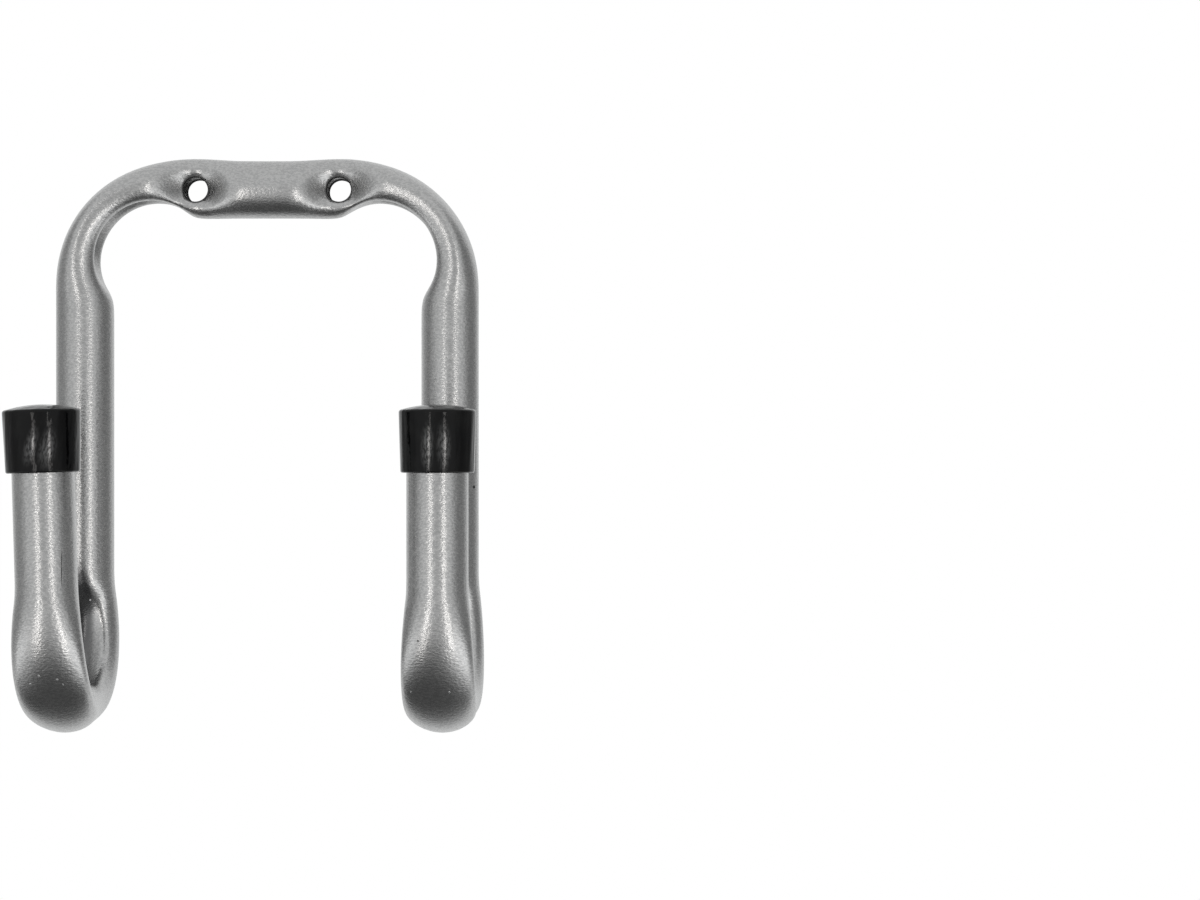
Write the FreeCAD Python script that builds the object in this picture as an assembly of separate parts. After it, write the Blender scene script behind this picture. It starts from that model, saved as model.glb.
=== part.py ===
import FreeCAD, Part

import math
import os

os.makedirs("parts", exist_ok=True)

# Garage utility hook: one steel tube bent into a top bar, two legs and two upturned
# prongs, with a dip-moulded cap on the end of each prong. Millimetres.
# +Z is up and the front faces -Y. The wall is the plane y = 0, and the origin lies on
# it, midway between the two screw holes.

# Tube, with its powder coat
tube_diameter = 16.0
tube_wall = 1.5

# Layout of the tube's axis
bend_radius = 27.0  # the same in all six bends
hook_drop = 140.2  # from the bar down to the bottom of the prongs
prong_reach = 60.0  # from the legs forward to the prongs
prong_rise = 75.7  # from the bottom of a prong up to the tube's end
left_lean = 1.7  # degrees by which the left prong leans outward, as it was bent

# Inside of each bend, pressed in by the bender's round ram
ram_margin = 3.9  # by which the ram's radius is less than that of the bend's inside
fold_gap = 1.6  # left between the two walls under the groove
lobe_height = 4.2  # of the two lobes above the groove
side_spread = 1.65  # by which the pressed tube grows wider on each side
lobe_turn = 36.0  # degrees from the middle of the groove to the top of each lobe
edge_level = 0.6  # height of the widest line, as a share of the pressed depth
shoulder_blend = 2.0  # depth over which the pressed part runs out into the round tube

# Screw holes, each through a dimple pressed into the front of the bar
screw_spacing = 40.0
screw_hole_diameter = 6.8
hole_to_bend = 4.0  # from a hole's axis to where the top bend starts
dimple_gap = 4.2  # left between the two walls at the hole
dimple_length = 21.0  # along the bar
dimple_height = 12.5  # across the bar
dimple_floor_diameter = 5.0  # level part of the punch, inside the hole
dimple_steepness = 1.7  # 1 is a straight funnel, and more is steeper at the hole
squash_length = 28.0  # along the bar, over which its front is pushed back
bar_squash = 0.22  # share of its depth that the bar loses round the hole
bar_bulge = 0.8  # by which the bar's top is raised round the hole
seat_rise = 0.3  # by which the flat round each hole stands off the tube's back
seat_length = 26.0  # along the bar, over which the back is pressed towards the flat
seat_height = 22.0  # across the bar
seat_surplus = 0.15  # pressed past the wall plane and trimmed off by it

# Caps
cap_clearance = 0.05  # between cap and tube
cap_length = 16.1  # from the mouth to the rim of the top
cap_top_wall = 1.95  # round the tube's end
cap_mouth_wall = 1.475
cap_dome_rise = 1.5
cap_end_thickness = 2.0
cap_rim_radius = 0.8
cap_lip_radius = 0.5

# Skin of the tube: poles round each section, and sections along its bent stretches
skin_degree = 3
section_poles = 20
plain_bar = 6.0  # straight run in the middle of the bar
bar_steps = 7
bend_steps = 12
shoulder_steps = 3
shoulder_length = 9.0

tube_radius = tube_diameter / 2
axis_to_wall = tube_radius + seat_rise
ram_radius = bend_radius - tube_radius - ram_margin
screw_x = screw_spacing / 2
leg_spacing = screw_spacing + 2 * (hole_to_bend + bend_radius)
leg_x = leg_spacing / 2
prong_y = -axis_to_wall - prong_reach
prong_end_z = prong_rise - hook_drop
pressed_depth = 2 * tube_wall + fold_gap + lobe_height
pole_turn = 2 * math.pi / section_poles
pole_scale = 3 / (2 + math.cos(pole_turn))  # poles lie this much outside a round section

QUARTER = math.pi / 2
RIGHTWARD = FreeCAD.Vector(1, 0, 0)
FORWARD = FreeCAD.Vector(0, -1, 0)
BACKWARD = FreeCAD.Vector(0, 1, 0)
UPWARD = FreeCAD.Vector(0, 0, 1)
DOWNWARD = FreeCAD.Vector(0, 0, -1)


class BendingPlane:
    """What the sections of one bending plane share, and how much each side may spread."""

    def __init__(self, side, turn, far_spread, near_spread):
        self.side = side
        self.turn = turn
        self.spreads = (far_spread, near_spread)


# At the top the bends stay level with the tube's back, so that the hook lies on the wall.
TOP_PLANE = BendingPlane(FORWARD, 0, 0, side_spread)
PRONG_PLANE = BendingPlane(RIGHTWARD, QUARTER, side_spread, side_spread)


class Bend:
    """A quarter turn of the tube's axis, from one outward direction to the next."""

    def __init__(self, centre, first, last):
        self.centre = centre
        self.first = first
        self.last = last
        outer_radius = bend_radius + tube_radius
        offset = outer_radius - pressed_depth - ram_radius
        self.ram_centre = centre + (first + last) * (offset / math.sqrt(2))

    def outward(self, share):
        """The direction away from the bend's centre, at a share of the turn."""
        angle = share * QUARTER
        return self.first * math.cos(angle) + self.last * math.sin(angle)


class Section:
    """One section across the tube: its place, and how it is turned and pressed."""

    def __init__(self, centre, outward, plane, rams):
        self.centre = centre
        self.outward = outward
        self.plane = plane
        self.crush = crush_at(centre + outward * tube_radius, outward, rams)

    def pole(self, index):
        """One pole of the section, where the angle 0 is the outside of the bend."""
        angle = index * pole_turn + self.plane.turn
        spread = self.plane.spreads[math.sin(angle) > 0]
        across, height = pressed_point(angle, self.crush, spread)
        return self.centre + self.plane.side * across + self.outward * height


def smooth_least(a, b, blend):
    """The lesser of two values, rounded off where they are nearly the same."""
    weight = min(1.0, max(0.0, 0.5 + 0.5 * (b - a) / blend))
    return b + (a - b) * weight - blend * weight * (1 - weight)


def bell(distance):
    """1 at no distance and 0 from a distance of 1 on, with smooth ends."""
    if distance >= 1:
        return 0.0
    return 0.5 + 0.5 * math.cos(math.pi * distance)


def crush_at(outer_point, outward, rams):
    """How far a section is pressed in, from 0 where it is round to 1 at the full depth."""
    depth = tube_diameter
    for ram in rams:
        to_ram = ram - outer_point
        along = -to_ram.dot(outward)
        miss = to_ram.Length ** 2 - along ** 2
        if miss < ram_radius ** 2 and along > 0:
            reached = along - math.sqrt(ram_radius ** 2 - miss)
            depth = smooth_least(depth, reached, shoulder_blend)
    return (tube_diameter - depth) / (tube_diameter - pressed_depth)


def pressed_point(angle, crush, spread):
    """Where a pole lies across the tube and outward, from round to fully pressed."""
    round_across = tube_radius * math.sin(angle)
    round_height = tube_radius * math.cos(angle)
    edge_height = tube_radius - pressed_depth * (1 - edge_level)
    pressed_across = (tube_radius + spread) * math.sin(angle)
    if math.cos(angle) > 0:
        pressed_height = edge_height + (tube_radius - edge_height) * math.cos(angle)
    else:
        to_lobe = math.radians(lobe_turn)
        from_groove = abs(math.remainder(angle - math.pi, 2 * math.pi))
        past_edge = (QUARTER - from_groove) / (QUARTER - to_lobe)
        fall = math.sin(min(1.0, past_edge) * QUARTER)
        rise = bell(from_groove / to_lobe)
        pressed_height = edge_height - pressed_depth * edge_level * fall + lobe_height * rise
    across = round_across + (pressed_across - round_across) * crush
    height = round_height + (pressed_height - round_height) * crush
    return across * pole_scale, height * pole_scale


def right_half_stretches():
    """The bent stretches of the right half, each a row of sections that starts and ends round.

    They are the bar with its top bend, the two bends of the prong, and the prong's end.
    """
    top = Bend(FreeCAD.Vector(leg_x - bend_radius, -axis_to_wall, -bend_radius), UPWARD, RIGHTWARD)
    low_z = bend_radius - hook_drop
    back = Bend(FreeCAD.Vector(leg_x, -axis_to_wall - bend_radius, low_z), BACKWARD, DOWNWARD)
    front = Bend(FreeCAD.Vector(leg_x, prong_y + bend_radius, low_z), DOWNWARD, FORWARD)
    top_rams = [top.ram_centre]
    low_rams = [back.ram_centre, front.ram_centre]
    shoulders = [shoulder_length * step / shoulder_steps for step in range(shoulder_steps + 1)]

    def straight(x, y, z, outward, plane, rams):
        return Section(FreeCAD.Vector(x, y, z), outward, plane, rams)

    def bent(bend, plane, rams):
        outwards = [bend.outward(step / bend_steps) for step in range(bend_steps)]
        return [Section(bend.centre + way * bend_radius, way, plane, rams) for way in outwards]

    corner = []
    for step in range(bar_steps):
        x = plain_bar / 2 + (top.centre.x - plain_bar / 2) * step / bar_steps
        corner.append(straight(x, -axis_to_wall, 0, UPWARD, TOP_PLANE, top_rams))
    corner += bent(top, TOP_PLANE, top_rams)
    for run in shoulders:
        z = -bend_radius - run
        corner.append(straight(leg_x, -axis_to_wall, z, RIGHTWARD, TOP_PLANE, top_rams))

    prong = []
    for run in reversed(shoulders[1:]):
        z = low_z + run
        prong.append(straight(leg_x, -axis_to_wall, z, BACKWARD, PRONG_PLANE, low_rams))
    prong += bent(back, PRONG_PLANE, low_rams) + bent(front, PRONG_PLANE, low_rams)
    for run in shoulders:
        prong.append(straight(leg_x, prong_y, low_z + run, FORWARD, PRONG_PLANE, low_rams))
    end = straight(leg_x, prong_y, prong_end_z, FORWARD, PRONG_PLANE, [])
    return [corner, prong, [end]]


def from_hole(off_x, off_z, length, height, level):
    """How far a point lies from a press's level part to the edge of its oval, from 0 to 1."""
    distance = math.hypot(off_x / (length / 2), off_z / (height / 2))
    rim = level / length
    return min(1.0, max(0.0, (distance - rim) / (1 - rim)))


def dimpled(point):
    """A pole of the bar, moved by the press that dimples the front and flattens the back."""
    x, y, z = point.x, point.y, point.z
    if z < -tube_diameter:
        return point
    floor = -(2 * tube_wall + dimple_gap)
    for hole_x in (-screw_x, screw_x):
        nearness = bell(abs(x - hole_x) / (squash_length / 2))
        y *= 1 - bar_squash * nearness
        z += bar_bulge * nearness * (1 + z / tube_radius) / 2
        if y < floor:
            away = from_hole(x - hole_x, z, dimple_length, dimple_height, dimple_floor_diameter)
            y += (floor - y) * (1 - away) ** dimple_steepness
        elif y > -tube_radius / 2:
            away = from_hole(x - hole_x, z, seat_length, seat_height, screw_hole_diameter)
            y += (seat_surplus - y) * bell(away)
    return FreeCAD.Vector(x, y, z)


def lean_share(y):
    """How much of the left prong's lean is reached, from none at the legs to all at the prong."""
    legs_front = -axis_to_wall - tube_radius
    prong_back = prong_y + tube_radius
    return 1 - bell(min(1.0, max(0.0, (legs_front - y) / (legs_front - prong_back))))


def leaned(point):
    """A point of the left half, turned about the left prong's end by its share of the lean."""
    pivot = FreeCAD.Vector(-leg_x, 0, prong_end_z)
    turn = FreeCAD.Rotation(FORWARD, left_lean * lean_share(point.y))
    return pivot + turn.multVec(point - pivot)


def mirrored(point):
    """The same point on the left half."""
    return FreeCAD.Vector(-point.x, point.y, point.z)


def skin_nets():
    """The poles of the tube's outside, as nets from the left prong's end to the right one's."""
    right = []
    for stretch in right_half_stretches():
        net = [[section.pole(index) for index in range(section_poles)] for section in stretch]
        right.append([[dimpled(point) for point in row] for row in net])
    left = []
    for net in reversed(right):
        left.append([[leaned(mirrored(point)) for point in row] for row in reversed(net)])
    return left + right


def inner_nets(nets):
    """The nets of the tube's inside, one wall in from the outside."""
    inner = []
    rows = [row for net in nets for row in net]
    last = len(rows) - 1
    for number, row in enumerate(rows):
        before = rows[max(0, number - 1)]
        after = rows[min(last, number + 1)]
        moved = []
        for index, point in enumerate(row):
            along = after[index] - before[index]
            around = row[(index + 1) % section_poles] - row[index - 1]
            inward = along.cross(around)
            inward.normalize()
            moved.append(point + inward * tube_wall * pole_scale)
        inner.append(moved)
    moved_rows = iter(inner)
    return [[next(moved_rows) for _ in net] for net in nets]


def skin_face(rows, degree):
    """A closed skin, drawn towards a net of poles: smooth, or straight if its degree is 1."""
    spans = len(rows) - degree
    end_mult = degree + 1
    skin = Part.BSplineSurface()
    skin.buildFromPolesMultsKnots(
        [[row[index] for row in rows] for index in range(section_poles)],
        umults=[1] * (section_poles + 1),
        vmults=[end_mult] + [1] * (spans - 1) + [end_mult],
        uknots=[float(knot) for knot in range(section_poles + 1)],
        vknots=[float(knot) for knot in range(spans + 1)],
        uperiodic=True,
        vperiodic=False,
        udegree=skin_degree,
        vdegree=degree,
    )
    return skin.toShape()


def skin_faces(nets):
    """The faces of one skin: the straight runs between the nets, then the bent stretches."""
    faces = [skin_face([last[-1], first[0]], 1) for last, first in zip(nets, nets[1:])]
    return faces + [skin_face(net, skin_degree) for net in nets if len(net) > 1]


def end_rim(face):
    """The rim of a prong's straight run at the tube's end, where it is highest."""
    rims = [edge for edge in face.Edges if edge.isClosed()]
    return Part.Wire(max(rims, key=lambda edge: edge.CenterOfMass.z))


def make_tube():
    """The bent tube with its two dimpled screw holes."""
    nets = skin_nets()
    runs = len(nets) - 1
    outside = skin_faces(nets)
    inside = skin_faces(inner_nets(nets))
    faces = outside + inside
    for run in (0, runs - 1):
        rims = [end_rim(outside[run]), end_rim(inside[run])]
        faces.append(Part.makeFace(rims, "Part::FaceMakerBullseye"))
    shell = Part.Shell(faces)
    shell.sewShape()
    tube = Part.Solid(shell)
    behind = Part.makeBox(
        leg_spacing + 2 * tube_diameter,
        tube_diameter,
        2 * tube_diameter,
        FreeCAD.Vector(-leg_x - tube_diameter, 0, -tube_diameter),
    )
    tube = tube.cut(behind)
    for side in (-1, 1):
        start = FreeCAD.Vector(side * screw_x, -2 * tube_diameter, 0)
        drill = Part.makeCylinder(screw_hole_diameter / 2, 3 * tube_diameter, start, BACKWARD)
        tube = tube.cut(drill)
    return tube


def cap_profile():
    """Half of the cap's section, with the bore's floor at z = 0."""
    bore_r = tube_radius + cap_clearance
    top_r = bore_r + cap_top_wall
    mouth_r = bore_r + cap_mouth_wall
    top_z = cap_end_thickness
    mouth_z = top_z - cap_length
    taper = math.atan2(top_r - mouth_r, cap_length)
    dome_r = (top_r ** 2 + cap_dome_rise ** 2) / (2 * cap_dome_rise)
    dome_z = top_z + cap_dome_rise - dome_r

    # The rim's arc touches the tapered side and the dome.
    in_x = top_r - cap_rim_radius * math.cos(taper)
    in_z = top_z + cap_rim_radius * math.sin(taper)
    up_x, up_z = math.sin(taper), math.cos(taper)
    half_b = in_x * up_x + (in_z - dome_z) * up_z
    c = in_x ** 2 + (in_z - dome_z) ** 2 - (dome_r - cap_rim_radius) ** 2
    run = -half_b + math.sqrt(half_b ** 2 - c)
    rim_x, rim_z = in_x + run * up_x, in_z + run * up_z
    lean = math.atan2(rim_x, rim_z - dome_z)
    rim_arc = [(rim_x + cap_rim_radius * math.cos(a), rim_z + cap_rim_radius * math.sin(a))
               for a in (math.pi / 2 - lean, (math.pi / 2 - lean - taper) / 2, -taper)]

    # The lip's arc touches the tapered side and the flat mouth.
    lip_z = mouth_z + cap_lip_radius
    side_at_lip = mouth_r + (cap_lip_radius * (1 + math.sin(taper))) * math.tan(taper)
    lip_x = side_at_lip - cap_lip_radius * math.cos(taper)
    lip_arc = [(lip_x + cap_lip_radius * math.cos(a), lip_z + cap_lip_radius * math.sin(a))
               for a in (-taper, (-taper - math.pi / 2) / 2, -math.pi / 2)]

    apex = (0, top_z + cap_dome_rise)
    dome_middle = (dome_r * math.sin(lean / 2), dome_z + dome_r * math.cos(lean / 2))
    bore = [lip_arc[-1], (bore_r, mouth_z), (bore_r, 0), (0, 0), apex]
    edges = [arc((apex, dome_middle, rim_arc[0])), arc(rim_arc)]
    edges += [line(rim_arc[-1], lip_arc[0]), arc(lip_arc)]
    edges += [line(start, end) for start, end in zip(bore, bore[1:])]
    return Part.Wire(edges)


def place(flat):
    """A point of a section drawn in the plane y = 0."""
    return FreeCAD.Vector(flat[0], 0, flat[1])


def line(start, end):
    """A straight edge of a section."""
    return Part.makeLine(place(start), place(end))


def arc(flats):
    """An arc through three points of a section."""
    return Part.Arc(*[place(flat) for flat in flats]).toShape()


def make_cap():
    """A cap standing on its own axis, with its bore's floor at z = 0."""
    return Part.Face(cap_profile()).revolve(FreeCAD.Vector(0, 0, 0), UPWARD, 360)


tube = make_tube()
tube.exportStep("parts/hook_tube.step")

for name, side, lean in (("left_cap", -1, left_lean), ("right_cap", 1, 0)):
    cap = make_cap()
    cap.translate(FreeCAD.Vector(0, 0, cap_clearance))
    cap.rotate(FreeCAD.Vector(0, 0, 0), FORWARD, lean)
    cap.translate(FreeCAD.Vector(side * leg_x, prong_y, prong_end_z))
    cap.exportStep("parts/" + name + ".step")
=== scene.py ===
import logging
import math
from dataclasses import dataclass
from enum import Enum

import bpy
from mathutils import Matrix, Vector


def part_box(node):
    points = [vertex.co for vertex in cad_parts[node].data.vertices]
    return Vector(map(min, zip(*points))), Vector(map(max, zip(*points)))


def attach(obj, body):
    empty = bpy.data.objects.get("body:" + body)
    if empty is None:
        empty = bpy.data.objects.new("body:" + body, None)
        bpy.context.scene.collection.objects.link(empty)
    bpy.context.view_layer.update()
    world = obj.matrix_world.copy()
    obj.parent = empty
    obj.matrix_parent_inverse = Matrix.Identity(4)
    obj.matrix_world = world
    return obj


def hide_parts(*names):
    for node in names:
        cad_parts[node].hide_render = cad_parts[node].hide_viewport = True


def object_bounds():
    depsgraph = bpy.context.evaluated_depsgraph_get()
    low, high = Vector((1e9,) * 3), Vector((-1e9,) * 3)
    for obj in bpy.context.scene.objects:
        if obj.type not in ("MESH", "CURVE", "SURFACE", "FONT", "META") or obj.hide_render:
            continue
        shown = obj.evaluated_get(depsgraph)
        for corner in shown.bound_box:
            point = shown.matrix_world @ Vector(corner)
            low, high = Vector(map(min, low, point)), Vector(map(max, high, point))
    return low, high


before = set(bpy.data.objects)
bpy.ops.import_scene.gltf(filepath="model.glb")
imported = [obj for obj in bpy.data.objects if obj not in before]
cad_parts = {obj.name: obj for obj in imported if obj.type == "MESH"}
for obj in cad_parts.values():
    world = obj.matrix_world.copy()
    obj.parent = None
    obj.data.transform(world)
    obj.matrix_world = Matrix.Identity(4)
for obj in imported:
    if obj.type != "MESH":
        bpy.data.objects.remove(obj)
CAD_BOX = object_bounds()

BODY = "root"
MM = 0.001
WHITE = (1.0, 1.0, 1.0, 1.0)
HOLE_X = 20.0 * MM  # from the middle of the bar to a screw hole's axis
log = logging.getLogger("hook")


class PhotoCamera:
    """The photo's camera, which looks level along +Y: its place, focal length and image."""

    x = 0.0929
    y = -0.774
    z = -0.0727
    focal_px = 2739.0
    width = 1200
    height = 900


class Finish(Enum):
    """The record's material slots."""

    STEEL = "powder_coated_steel"
    VINYL = "black_vinyl"


class Signal:
    """One output socket of a shader node, on which Python's operators add Math nodes."""

    def __init__(self, shader: "Shader", socket: bpy.types.NodeSocket) -> None:
        """Wraps a socket.

        Args:
            shader: the node tree that the socket belongs to.
            socket: the output socket.
        """
        self.shader = shader
        self.socket = socket

    def _math(self, operation: str, *values: "Signal | float") -> "Signal":
        """Adds one Math node on the values."""
        return self.shader.value("ShaderNodeMath", {"operation": operation}, dict(enumerate(values)))

    def __add__(self, other: "Signal | float") -> "Signal":
        """The sum."""
        return self._math("ADD", self, other)

    def __sub__(self, other: "Signal | float") -> "Signal":
        """The difference."""
        return self._math("SUBTRACT", self, other)

    def __rsub__(self, other: float) -> "Signal":
        """The difference, with the number on the left."""
        return self._math("SUBTRACT", other, self)

    def __mul__(self, other: "Signal | float") -> "Signal":
        """The product."""
        return self._math("MULTIPLY", self, other)

    __radd__ = __add__
    __rmul__ = __mul__

    def at_least(self, other: "Signal | float") -> "Signal":
        """The greater of the two."""
        return self._math("MAXIMUM", self, other)

    def ramp(self, start: float, end: float, low: float = 0.0, high: float = 1.0) -> "Signal":
        """A smooth step between two values.

        Args:
            start: the value at which the step begins.
            end: the value at which it ends.
            low: the result up to the start.
            high: the result from the end on.
        Returns:
            The stepped value.
        """
        settings = {"interpolation_type": "SMOOTHSTEP"}
        sockets = {"Value": self, "From Min": start, "From Max": end, "To Min": low, "To Max": high}
        return self.shader.value("ShaderNodeMapRange", settings, sockets)


class Shader:
    """A node tree, and the one method that adds any node to it."""

    def __init__(self, tree: bpy.types.NodeTree) -> None:
        """Empties a node tree and starts a new one in it.

        Args:
            tree: the node tree of a material or of the world.
        """
        self.tree = tree
        self.tree.nodes.clear()

    def node(self, kind: str, settings: dict | None = None, sockets: dict | None = None) -> bpy.types.Node:
        """Adds a node.

        Args:
            kind: Blender's name of the node's type.
            settings: the node's properties, which are set first.
            sockets: a value or a link for each input socket, by its name or number.
        Returns:
            The node.
        """
        made = self.tree.nodes.new(kind)
        for name, setting in (settings or {}).items():
            setattr(made, name, setting)
        for name, given in (sockets or {}).items():
            if isinstance(given, Signal):
                self.tree.links.new(given.socket, made.inputs[name])
            else:
                made.inputs[name].default_value = given
        return made

    def value(
        self, kind: str, settings: dict | None = None, sockets: dict | None = None, output: int | str = 0
    ) -> Signal:
        """Adds a node and wraps one of its outputs.

        Args:
            kind: Blender's name of the node's type.
            settings: the node's properties.
            sockets: a value or a link for each input socket.
            output: the name or number of the output that is wanted.
        Returns:
            That output.
        """
        return Signal(self, self.node(kind, settings, sockets).outputs[output])

    def place(self) -> Signal:
        """The shaded point in the row frame, in metres."""
        return self.value("ShaderNodeTexCoord", output="Object")

    def stretched(self, point: Signal, scale: tuple[float, float, float]) -> Signal:
        """A point with each of its coordinates scaled."""
        return self.value("ShaderNodeVectorMath", {"operation": "MULTIPLY"}, {0: point, 1: scale})

    def local(self, point: Signal, place: tuple, reach: tuple, slant: float = 0.0) -> Signal:
        """A point measured from a place, along slanted axes, in units of a reach.

        Args:
            point: the point, in metres.
            place: the place that it is measured from.
            reach: the unit along each axis, in metres.
            slant: degrees about the Y axis, with the top towards +X.
        Returns:
            The point's three coordinates.
        """
        turn = (0.0, math.radians(slant), 0.0)
        sockets = {"Vector": point, "Location": place, "Rotation": turn, "Scale": reach}
        return self.value("ShaderNodeMapping", {"vector_type": "TEXTURE"}, sockets)

    def noise(self, point: Signal, grain: float, detail: float = 2.0, roughness: float = 0.5) -> Signal:
        """A cloudy value from 0 to 1 about 0.5.

        Args:
            point: where the noise is read.
            grain: the size of its grain, in metres.
            detail: how many finer layers are added.
            roughness: how strong each finer layer is.
        Returns:
            The value.
        """
        sockets = {"Vector": point, "Scale": 1 / grain, "Detail": detail, "Roughness": roughness}
        return self.value("ShaderNodeTexNoise", None, sockets)

    def blend(self, share: Signal, first: tuple | Signal, second: tuple | Signal) -> Signal:
        """A colour between two.

        Args:
            share: 0 for the first colour and 1 for the second.
            first: the first colour.
            second: the second colour.
        Returns:
            The mixed colour.
        """
        return self.value("ShaderNodeMix", {"data_type": "RGBA"}, {0: share, 6: first, 7: second}, 2)

    def bumped(self, height: Signal, distance: float, normal: Signal | None = None) -> Signal:
        """A normal that follows a height.

        Args:
            height: the height, in units of the distance.
            distance: what a height of 1 measures, in metres.
            normal: a normal to start from.
        Returns:
            The bumped normal.
        """
        sockets = {"Height": height, "Distance": distance, "Strength": 1.0}
        if normal is not None:
            sockets["Normal"] = normal
        return self.value("ShaderNodeBump", None, sockets)


def new_shader(name: str) -> tuple[bpy.types.Material, Shader]:
    """A new material and its node tree.

    Args:
        name: the material's name.
    Returns:
        The material, and the tree to fill.
    """
    material = bpy.data.materials.new(name)
    material.use_nodes = True
    return material, Shader(material.node_tree)


def dress(mesh: bpy.types.Mesh, material: bpy.types.Material) -> None:
    """Gives a mesh one material in place of what it has.

    Args:
        mesh: the mesh.
        material: its material.
    """
    mesh.materials.clear()
    mesh.materials.append(material)


@dataclass(frozen=True)
class Patch:
    """A part of space, oval in each direction, in which a finish changes.

    The slant is in degrees about the Y axis, with the top towards +X.
    """

    place: tuple[float, float, float]
    reach: tuple[float, float, float]
    edge: float = 0.3
    slant: float = 0.0

    def share(self, shader: Shader, point: Signal) -> Signal:
        """How far a point lies in the patch.

        Args:
            shader: the node tree to build in.
            point: the point, in metres.
        Returns:
            1 in the patch, 0 outside it, and between them over its edge.
        """
        parts = shader.local(point, self.place, self.reach, self.slant)
        distance = shader.value("ShaderNodeVectorMath", {"operation": "LENGTH"}, {0: parts}, "Value")
        return distance.ramp(1.0 - self.edge, 1.0, 1.0, 0.0)


class PhotoMark(Enum):
    """Where the photo shows a mark: its pixel's column and row."""

    PRONG_SCRATCH = (64.0, 567.0)
    CORNER_NUB = (119.0, 214.0)
    LEFT_SPECK_TOP = (39.0, 676.0)
    LEFT_SPECK_EDGE = (30.0, 684.0)
    LEFT_SPECK_MIDDLE = (57.0, 680.0)
    LEFT_SPECK_LOW = (63.0, 685.0)
    GROOVE_SPECK = (91.0, 600.0)
    PRONG_PIT = (418.0, 641.0)
    RIGHT_SPECK_LEFT = (410.0, 693.0)
    RIGHT_SPECK_RIGHT = (449.0, 693.0)
    LEG_CHIP = (474.0, 487.0)
    LEFT_FOLD_LEFT = (31.5, 446.0)
    LEFT_FOLD_RIGHT = (47.0, 449.0)
    RIGHT_FOLD_LEFT = (427.5, 447.0)
    RIGHT_FOLD_RIGHT = (443.5, 446.0)


def at_mark(mark: PhotoMark, depth: float) -> tuple[float, float, float]:
    """The point at a depth behind a mark of the photo.

    Args:
        mark: the mark.
        depth: the point's y, in metres.
    Returns:
        The point.
    """
    column, row = mark.value
    per_pixel = (depth - PhotoCamera.y) / PhotoCamera.focal_px
    x = PhotoCamera.x + (column - PhotoCamera.width / 2) * per_pixel
    return x, depth, PhotoCamera.z - (row - PhotoCamera.height / 2) * per_pixel


@dataclass(frozen=True)
class Blemish:
    """A small fault of the coat at a mark of the photo. Its lengths are in millimetres.

    The depth is its y, and wide, tall and deep are half its sizes. The rise is how far it stands
    up, or sinks in if it is negative.
    """

    mark: PhotoMark
    depth: float
    wide: float
    tall: float
    grey: float
    rise: float
    deep: float = 6.0

    def patch(self) -> Patch:
        """The part of space that it takes.

        Returns:
            The patch.
        """
        reach = (self.wide * MM, self.deep * MM, self.tall * MM)
        return Patch(at_mark(self.mark, self.depth * MM), reach)


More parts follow.
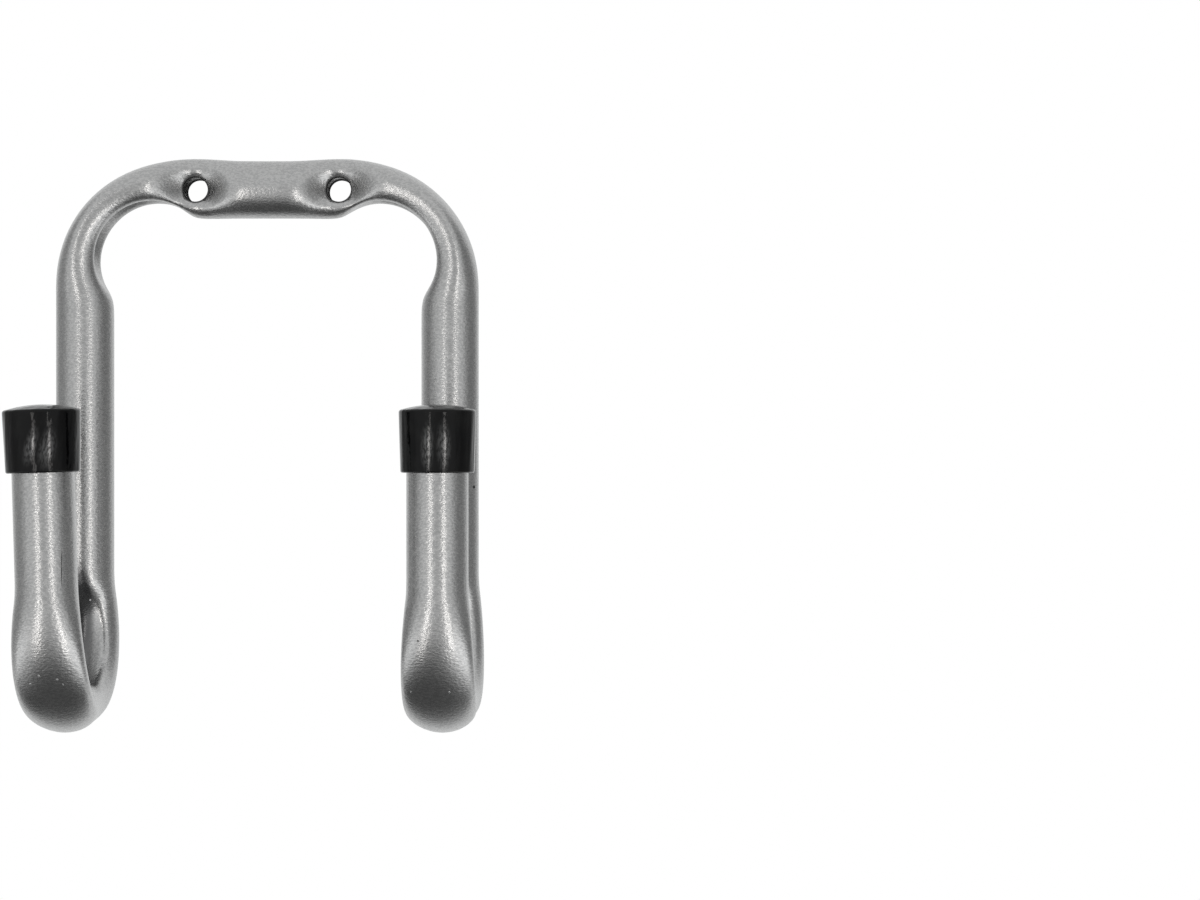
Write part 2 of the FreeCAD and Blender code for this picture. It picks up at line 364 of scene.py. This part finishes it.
@dataclass(frozen=True)
class PowderCoat:
    """The silver-grey metallic powder coat, with the fine hammered grain of its skin. The insides of the
    prongs' bends and of the screw holes have painted shade.
    """

    colour: tuple[float, float, float, float] = (0.455, 0.453, 0.451, 1.0)
    dark_colour: tuple[float, float, float, float] = (0.365, 0.365, 0.365, 1.0)
    # painted shade: the dark colour of the insides of the prongs' bends
    groove_shade_colour: tuple[float, float, float, float] = (0.110, 0.110, 0.112, 1.0)
    metallic: float = 1.0
    roughness: float = 0.27
    grain: float = 0.27 * MM
    grain_height: float = 0.010 * MM
    ripple: float = 0.52 * MM
    ripple_height: float = 0.066 * MM
    ripple_stretch: tuple[float, float, float] = (0.65, 0.65, 1.15)
    ripple_layering: float = 0.45
    dark_range: tuple[float, float] = (0.34, 0.66)
    rough_range: tuple[float, float] = (0.3, 0.7)
    rough_spread: float = 0.04
    groove_reach: tuple[float, float, float] = (5.5 * MM, 22.0 * MM, 22.0 * MM)
    groove_edge: float = 0.2
    ram_inset: float = 19.1 * MM
    ram_rise: float = 27.2 * MM
    axis_to_wall: float = 8.3 * MM
    # painted shade: the near-black colour of the screw holes' insides
    bore_shade_colour: tuple[float, float, float, float] = (0.012, 0.012, 0.012, 1.0)
    bore_roughness: float = 0.75
    bore_specular: float = 0.2
    bore_reach: tuple[float, float, float] = (4.1 * MM, 60.0 * MM, 4.1 * MM)
    bore_edge: float = 0.16
    blemishes: tuple[Blemish, ...] = (
        Blemish(PhotoMark.PRONG_SCRATCH, depth=-71.0, wide=0.16, tall=7.0, grey=0.09, rise=0.05),
        Blemish(PhotoMark.CORNER_NUB, depth=-14.0, wide=0.8, tall=0.8, grey=0.30, rise=0.30, deep=4.0),
        Blemish(PhotoMark.LEFT_SPECK_TOP, depth=-71.0, wide=0.3, tall=0.3, grey=0.95, rise=0.10),
        Blemish(PhotoMark.LEFT_SPECK_EDGE, depth=-70.0, wide=0.3, tall=0.2, grey=0.95, rise=0.10),
        Blemish(PhotoMark.LEFT_SPECK_MIDDLE, depth=-71.0, wide=0.3, tall=0.3, grey=0.90, rise=0.10),
        Blemish(PhotoMark.LEFT_SPECK_LOW, depth=-70.0, wide=0.2, tall=0.3, grey=0.90, rise=0.08),
        Blemish(PhotoMark.GROOVE_SPECK, depth=-12.0, wide=0.3, tall=0.4, grey=0.95, rise=0.10),
        Blemish(PhotoMark.PRONG_PIT, depth=-74.0, wide=0.3, tall=0.3, grey=0.10, rise=-0.12),
        Blemish(PhotoMark.RIGHT_SPECK_LEFT, depth=-70.0, wide=0.2, tall=0.3, grey=0.90, rise=0.08),
        Blemish(PhotoMark.RIGHT_SPECK_RIGHT, depth=-70.0, wide=0.3, tall=0.3, grey=0.90, rise=0.08),
        Blemish(PhotoMark.LEG_CHIP, depth=-12.0, wide=0.4, tall=0.6, grey=0.06, rise=-0.15),
    )

    def make(self) -> bpy.types.Material:
        """Builds the material.

        Returns:
            The material.
        """
        material, shader = new_shader("powder_coat")
        point = shader.place()
        grain = shader.noise(point, self.grain, 1.0)
        stretched = shader.stretched(point, self.ripple_stretch)
        ripple = shader.noise(stretched, self.ripple, 1.0, self.ripple_layering)
        colour = shader.blend(ripple.ramp(*self.dark_range), self.dark_colour, self.colour)
        # painted shade: the insides of the prongs' bends are darkened in the coat's colour
        for shade_patch in self.groove_shades():
            colour = shader.blend(shade_patch.share(shader, point), colour, self.groove_shade_colour)
        # painted shade: the screw holes' insides are coloured near black, not metallic and rough
        bore_shade = self.bore_shades(shader, point)
        colour = shader.blend(bore_shade, colour, self.bore_shade_colour)
        normal = shader.bumped(ripple, self.ripple_height)
        normal = shader.bumped(grain, self.grain_height, normal)
        for blemish in self.blemishes:
            share = blemish.patch().share(shader, point)
            colour = shader.blend(share, colour, (blemish.grey,) * 3 + (1.0,))
            normal = shader.bumped(share, blemish.rise * MM, normal)
        smooth, rough = self.roughness - self.rough_spread, self.roughness + self.rough_spread
        roughness = grain.ramp(*self.rough_range, smooth, rough)
        surface = shader.value(
            "ShaderNodeBsdfPrincipled",
            None,
            {
                "Base Color": colour,
                "Metallic": bore_shade.ramp(0.0, 1.0, self.metallic, 0.0),
                "Roughness": roughness.at_least(bore_shade * self.bore_roughness),
                "Specular IOR Level": self.bore_specular,
                "Normal": normal,
            },
        )
        shader.node("ShaderNodeOutputMaterial", None, {"Surface": surface})
        return material

    def groove_shades(self) -> list[Patch]:
        """The insides of the prongs' bends, where shade is painted into the coat's colour.

        Returns:
            A patch round the middle of each ram that pressed a bend.
        """
        patches = []
        for cap in ("left_cap", "right_cap"):
            low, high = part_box(cap)
            prong = (low + high) / 2
            for depth in (prong.y + self.ram_inset, -self.axis_to_wall - self.ram_inset):
                place = (prong.x, depth, CAD_BOX[0].z + self.ram_rise)
                patches.append(Patch(place, self.groove_reach, self.groove_edge))
        return patches

    def bore_shades(self, shader: Shader, point: Signal) -> Signal:
        """The insides of the screw holes, where shade is painted near black.

        Args:
            shader: the node tree to build in.
            point: the point, in metres.
        Returns:
            1 in a hole and 0 away from both.
        """
        places = [(side * HOLE_X, -self.axis_to_wall, 0.0) for side in (-1, 1)]
        left, right = (Patch(place, self.bore_reach, self.bore_edge) for place in places)
        return left.share(shader, point).at_least(right.share(shader, point))


@dataclass
class TubeSkin:
    """The tube as the CAD gives it, with the rolled-in rims that the punch left at its screw holes.

    A rim is an arc that leaves the bore upright and meets the dimple's floor without an edge.
    """

    bore_radius: float = 3.42 * MM
    rim_radius: float = 2.2 * MM
    behind: float = 2.0 * MM
    front: float = 14.0 * MM
    probe_reach: tuple[float, float] = (4.0 * MM, 4.4 * MM)
    arc_steps: int = 8
    ring_points: int = 96

    def floor_height(self, node: bpy.types.Object, x: float, z: float) -> float:
        """The y of the tube's front face at a place.

        Args:
            node: the CAD tube.
            x: the place along the bar.
            z: its height.
        Returns:
            The y.
        """
        _, place, _, _ = node.ray_cast(Vector((x, PhotoCamera.y, z)), Vector((0.0, 1.0, 0.0)))
        return place.y

    def outline(self, node: bpy.types.Object, x: float, turn: float) -> list[tuple[float, float]]:
        """The cutter's outline in one direction from the hole's axis.

        Args:
            node: the CAD tube.
            x: the hole's place along the bar.
            turn: the direction, in radians about the axis.
        Returns:
            Its radius and y, from behind the wall to the front.
        """
        near, far = (
            self.floor_height(node, x + reach * math.cos(turn), reach * math.sin(turn))
            for reach in self.probe_reach
        )
        slope = (near - far) / (self.probe_reach[1] - self.probe_reach[0])
        steepest = math.atan2(1.0, slope)
        end_radius = self.bore_radius + self.rim_radius * (1 - math.cos(steepest))
        end_y = near - slope * (end_radius - self.probe_reach[0])
        arc_y = end_y + self.rim_radius * math.sin(steepest)
        points = [(self.bore_radius, self.behind)]
        for step in range(self.arc_steps + 1):
            angle = steepest * step / self.arc_steps
            radius = self.bore_radius + self.rim_radius * (1 - math.cos(angle))
            points.append((radius, arc_y - self.rim_radius * math.sin(angle)))
        return points + [(end_radius, -self.front)]

    def cutter(self, node: bpy.types.Object, x: float) -> bpy.types.Object:
        """The solid that is cut out of the tube at one hole.

        Args:
            node: the CAD tube.
            x: the hole's place along the bar.
        Returns:
            The cutter.
        """
        points = []
        for ring in range(self.ring_points):
            turn = 2 * math.pi * ring / self.ring_points
            for radius, y in self.outline(node, x, turn):
                points.append((x + radius * math.cos(turn), y, radius * math.sin(turn)))
        length = len(points) // self.ring_points
        faces = []
        for ring in range(self.ring_points):
            here, beside = ring * length, (ring + 1) % self.ring_points * length
            for step in range(length - 1):
                faces.append((here + step, here + step + 1, beside + step + 1, beside + step))
        starts = [ring * length for ring in range(self.ring_points)]
        faces.append(tuple(starts))
        faces.append(tuple(start + length - 1 for start in reversed(starts)))
        mesh = bpy.data.meshes.new("hole_cutter")
        mesh.from_pydata(points, [], faces)
        mesh.polygons.foreach_set("use_smooth", [len(face) == 4 for face in faces])
        holder = bpy.data.objects.new("hole_cutter", mesh)
        bpy.context.scene.collection.objects.link(holder)
        return holder

    def make(self, material: bpy.types.Material) -> None:
        """Builds the tube's skin in place of the CAD tube.

        Args:
            material: the finish.
        """
        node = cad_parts["hook_tube"]
        rough = bpy.data.objects.new("rough_tube", node.data.copy())
        bpy.context.scene.collection.objects.link(rough)
        cutters = [self.cutter(node, side * HOLE_X) for side in (-1, 1)]
        for cutter in cutters:
            cut = rough.modifiers.new("hole", "BOOLEAN")
            cut.operation, cut.solver, cut.object = "DIFFERENCE", "EXACT", cutter
        bpy.context.view_layer.update()
        depsgraph = bpy.context.evaluated_depsgraph_get()
        mesh = bpy.data.meshes.new_from_object(rough.evaluated_get(depsgraph))
        for spent in (rough, *cutters):
            bpy.data.objects.remove(spent)
        dress(mesh, material)
        skin = bpy.data.objects.new("tube_skin", mesh)
        bpy.context.scene.collection.objects.link(skin)
        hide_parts("hook_tube")
        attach(skin, BODY)
        log.info("piece tube_skin: %d faces", len(mesh.polygons))


@dataclass(frozen=True)
class Streak:
    """A fold of a cap that catches the light. Its lengths are in millimetres.

    The slant is in degrees, with the top towards +X. The depth is the fold's y, and wide, tall and
    deep are half its sizes.
    """

    mark: PhotoMark
    wide: float
    tall: float
    slant: float
    depth: float = -77.0
    deep: float = 6.0
    edge: float = 0.95

    def patch(self) -> Patch:
        """The part of space that it takes.

        Returns:
            The patch.
        """
        reach = (self.wide * MM, self.deep * MM, self.tall * MM)
        return Patch(at_mark(self.mark, self.depth * MM), reach, self.edge, self.slant)


@dataclass(frozen=True)
class DippedVinyl:
    """The glossy black vinyl of one cap, with the slanted folds where it is stretched."""

    streaks: tuple[Streak, ...]
    slant: float
    colour: tuple[float, float, float, float] = (0.0015, 0.0015, 0.0017, 1.0)
    worn_colour: tuple[float, float, float, float] = (0.005, 0.005, 0.005, 1.0)
    specular: float = 0.17
    roughness: float = 0.07
    gloss_ior: float = 1.9
    gloss_roughness: float = 0.14
    fold_width: float = 2.6 * MM
    fold_length: float = 15.0 * MM
    fold_height: float = 0.26 * MM
    tear: float = 0.45 * MM
    tear_reach: tuple[float, float, float] = (1.0, 1.0, 2.6)
    fold_layering: float = 0.4
    tear_range: tuple[float, float] = (0.34, 0.62)
    tear_floor: float = 0.15
    pimple: float = 0.7 * MM
    pimple_height: float = 0.035 * MM
    pimple_stretch: tuple[float, float, float] = (1.0, 1.0, 0.6)
    cloud: float = 6.0 * MM
    worn_range: tuple[float, float] = (0.4, 0.75)
    rough_range: tuple[float, float] = (0.3, 0.8)
    rough_spread: float = 0.05

    def make(self) -> bpy.types.Material:
        """Builds the material.

        Returns:
            The material.
        """
        material, shader = new_shader("dipped_vinyl")
        point = shader.place()
        fold = (self.fold_width, self.fold_width, self.fold_length)
        patches = [streak.patch() for streak in self.streaks]
        along = shader.local(point, patches[0].place, fold, self.slant)
        folds = shader.noise(along, 1.0, 1.0, self.fold_layering)
        pimples = shader.noise(shader.stretched(point, self.pimple_stretch), self.pimple)
        clouds = shader.noise(point, self.cloud, 3.0)
        colour = shader.blend(clouds.ramp(*self.worn_range), self.colour, self.worn_colour)
        roughness = clouds.ramp(*self.rough_range, self.roughness, self.roughness + self.rough_spread)
        normal = shader.bumped(folds, self.fold_height)
        drawn = shader.local(point, patches[0].place, self.tear_reach, self.slant)
        ragged = shader.noise(drawn, self.tear).ramp(*self.tear_range, self.tear_floor, 1.0)
        gloss = patches[0].share(shader, point)
        for patch in patches[1:]:
            gloss = gloss.at_least(patch.share(shader, point))
        surface = shader.value(
            "ShaderNodeBsdfPrincipled",
            None,
            {
                "Base Color": colour,
                "Roughness": roughness,
                "Specular IOR Level": self.specular,
                "Coat Weight": gloss * ragged,
                "Coat IOR": self.gloss_ior,
                "Coat Roughness": self.gloss_roughness,
                "Normal": shader.bumped(pimples, self.pimple_height, normal),
            },
        )
        shader.node("ShaderNodeOutputMaterial", None, {"Surface": surface})
        return material


@dataclass(frozen=True)
class ShadedSpot:
    """A darker patch of the light tent, or a brighter one if its depth is negative."""

    azimuth: float
    elevation: float
    inner: float
    outer: float
    depth: float

    def dimming(self, shader: Shader, direction: Signal) -> Signal:
        """By what the patch multiplies the light from a direction.

        Args:
            shader: the node tree to build in.
            direction: the direction that is looked in.
        Returns:
            The factor, from 1 - depth in the patch to 1 outside it.
        """
        settings = {"operation": "DOT_PRODUCT"}
        towards = direction_of(self.azimuth, self.elevation)
        nearness = shader.value("ShaderNodeVectorMath", settings, {0: direction, 1: towards}, "Value")
        inner, outer = math.cos(math.radians(self.inner)), math.cos(math.radians(self.outer))
        return nearness.ramp(outer, inner, 1.0, 1.0 - self.depth)


def direction_of(azimuth: float, elevation: float) -> Vector:
    """The direction of a thing seen from the hook.

    Args:
        azimuth: degrees from the front (-Y) towards +X.
        elevation: degrees above the horizon.
    Returns:
        The unit vector towards it.
    """
    turn, rise = math.radians(azimuth), math.radians(elevation)
    return Vector((math.sin(turn) * math.cos(rise), -math.cos(turn) * math.cos(rise), math.sin(rise)))


@dataclass(frozen=True)
class StripLamp:
    """An upright strip lamp beside the camera: its direction, tilt, size and radiance."""

    azimuth: float
    elevation: float
    tilt: float
    distance: float = 0.85
    width: float = 0.070
    height: float = 0.66
    radiance: float = 4.3
    colour: tuple[float, float, float] = (1.0, 0.97, 0.94)

    def make(self) -> None:
        """Builds the lamp, which faces the hook and which the camera doesn't see."""
        lamp = bpy.data.lights.new("lamp", "AREA")
        lamp.shape = "RECTANGLE"
        lamp.size, lamp.size_y = self.width, self.height
        lamp.energy = self.radiance * math.pi * self.width * self.height
        lamp.color = self.colour
        holder = bpy.data.objects.new("lamp", lamp)
        towards = direction_of(self.azimuth, self.elevation)
        holder.location = sum(CAD_BOX, Vector()) / 2 + towards * self.distance
        tilt = Matrix.Rotation(math.radians(-self.tilt), 4, "Z").to_quaternion()
        holder.rotation_mode = "QUATERNION"
        holder.rotation_quaternion = towards.to_track_quat("Z", "Y") @ tilt
        holder.visible_camera = False
        bpy.context.scene.collection.objects.link(holder)


@dataclass
class Studio:
    """A white light tent with a plain pale floor, two soft lamps and the camera."""

    tent_level: float = 0.92
    tent_colour: tuple[float, float, float, float] = (0.990, 1.0, 1.0, 1.0)
    spots: tuple[ShadedSpot, ...] = (
        ShadedSpot(azimuth=-35.0, elevation=-79.5, inner=8.0, outer=54.0, depth=0.87),
        ShadedSpot(azimuth=-4.0, elevation=-36.0, inner=2.0, outer=24.0, depth=0.36),
        ShadedSpot(azimuth=5.0, elevation=-6.0, inner=0.0, outer=20.0, depth=0.25),
        ShadedSpot(azimuth=95.0, elevation=-60.0, inner=0.0, outer=20.0, depth=0.40),
        ShadedSpot(azimuth=-103.0, elevation=-54.0, inner=0.0, outer=22.0, depth=0.50),
        ShadedSpot(azimuth=98.0, elevation=4.0, inner=0.0, outer=50.0, depth=0.64),
        ShadedSpot(azimuth=-98.0, elevation=6.0, inner=0.0, outer=46.0, depth=0.50),
        ShadedSpot(azimuth=-66.0, elevation=-39.0, inner=3.0, outer=29.0, depth=-0.70),
        ShadedSpot(azimuth=58.0, elevation=-42.0, inner=3.0, outer=32.0, depth=-0.95),
    )
    floor_level: float = -0.62
    floor_reach: float = 2.4
    floor_colour: tuple[float, float, float, float] = (0.86, 0.86, 0.86, 1.0)
    shaded_paper: tuple[float, float, float, float] = (0.8342, 0.8342, 0.8342, 1.0)
    paper_cloud: float = 0.4
    lamps: tuple[StripLamp, ...] = (
        StripLamp(azimuth=-23.0, elevation=-18.0, tilt=17.0),
        StripLamp(azimuth=30.0, elevation=-18.0, tilt=-4.0),
    )
    sensor: float = 36.0

    def tent(self, shader: Shader, direction: Signal) -> Signal:
        """The light that the tent sends from a direction.

        Args:
            shader: the node tree to build in.
            direction: the direction that is looked in.
        Returns:
            Its level.
        """
        level = self.tent_level
        for spot in self.spots:
            level = level * spot.dimming(shader, direction)
        return level

    def make_world(self) -> None:
        """The tent as the world. The camera sees it plain white."""
        world = bpy.data.worlds.new("light_tent")
        bpy.context.scene.world = world
        world.use_nodes = True
        shader = Shader(world.node_tree)
        direction = shader.value("ShaderNodeTexCoord", output="Generated")
        rays = shader.node("ShaderNodeLightPath")
        seen = Signal(shader, rays.outputs["Is Camera Ray"])
        seen = seen.at_least(Signal(shader, rays.outputs["Is Transmission Ray"]))
        level = self.tent(shader, direction)
        strength = level + seen * (1.0 - level)
        colour = shader.blend(seen, self.tent_colour, WHITE)
        background = shader.value("ShaderNodeBackground", None, {"Color": colour, "Strength": strength})
        shader.node("ShaderNodeOutputWorld", None, {"Surface": background})

    def make_floor(self) -> None:
        """A plain pale floor below the hook. Mirrored rays see the tent's shaded side in it."""
        material, shader = new_shader("plain_floor")
        paper = shader.noise(shader.place(), self.paper_cloud)
        colour = shader.blend(paper, self.floor_colour, self.shaded_paper)
        matt_sockets = {"Base Color": colour, "Roughness": 1.0, "Specular IOR Level": 0.0}
        matt = shader.value("ShaderNodeBsdfPrincipled", None, matt_sockets)
        direction = shader.value("ShaderNodeVectorMath", {"operation": "NORMALIZE"}, {0: shader.place()})
        scaling = {0: self.tent_colour[:3], "Scale": self.tent(shader, direction)}
        light = shader.value("ShaderNodeVectorMath", {"operation": "SCALE"}, scaling)
        shaded = shader.value("ShaderNodeEmission", None, {"Color": light})
        mirrored = shader.value("ShaderNodeLightPath", output="Is Glossy Ray")
        surface = shader.value("ShaderNodeMixShader", None, {0: mirrored, 1: matt, 2: shaded})
        shader.node("ShaderNodeOutputMaterial", None, {"Surface": surface})
        mesh = bpy.data.meshes.new("floor")
        reach = self.floor_reach
        signs = ((-1, -1), (1, -1), (1, 1), (-1, 1))
        corners = [(x * reach, y * reach, self.floor_level) for x, y in signs]
        mesh.from_pydata(corners, [], [(0, 1, 2, 3)])
        mesh.materials.append(material)
        floor = bpy.data.objects.new("floor", mesh)
        bpy.context.scene.collection.objects.link(floor)

    def make_camera(self) -> None:
        """The camera at the photo's place, looking level along +Y."""
        camera = bpy.data.cameras.new("camera")
        camera.sensor_width = self.sensor
        camera.lens = PhotoCamera.focal_px * self.sensor / PhotoCamera.width
        holder = bpy.data.objects.new("camera", camera)
        holder.location = (PhotoCamera.x, PhotoCamera.y, PhotoCamera.z)
        holder.rotation_euler = (math.pi / 2, 0.0, 0.0)
        bpy.context.scene.collection.objects.link(holder)
        bpy.context.scene.camera = holder

    def make(self) -> None:
        """Builds the whole studio."""
        bpy.context.scene.view_settings.view_transform = "Standard"
        self.make_world()
        self.make_floor()
        for lamp in self.lamps:
            lamp.make()
        self.make_camera()
        log.info("studio: tent, floor, %d lamps and camera", len(self.lamps))


def main() -> None:
    """Builds the hook's looks and the studio, in order."""
    logging.basicConfig(level=logging.INFO, format="%(name)s: %(message)s")
    coat = PowderCoat().make()
    dress(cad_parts["hook_tube"].data, coat)
    TubeSkin().make(coat)
    left_streaks = (
        Streak(PhotoMark.LEFT_FOLD_LEFT, wide=2.2, tall=6.4, slant=15.0),
        Streak(PhotoMark.LEFT_FOLD_RIGHT, wide=2.8, tall=6.8, slant=10.0),
    )
    right_streaks = (
        Streak(PhotoMark.RIGHT_FOLD_LEFT, wide=2.2, tall=7.6, slant=1.0),
        Streak(PhotoMark.RIGHT_FOLD_RIGHT, wide=2.4, tall=7.8, slant=-1.0),
    )
    for name, vinyl in (
        ("left_cap", DippedVinyl(left_streaks, slant=13.0)),
        ("right_cap", DippedVinyl(right_streaks, slant=2.0)),
    ):
        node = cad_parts[name]
        dress(node.data, vinyl.make())
        log.info("piece %s", name)
    Studio().make()


if __name__ == "__main__":
    main()
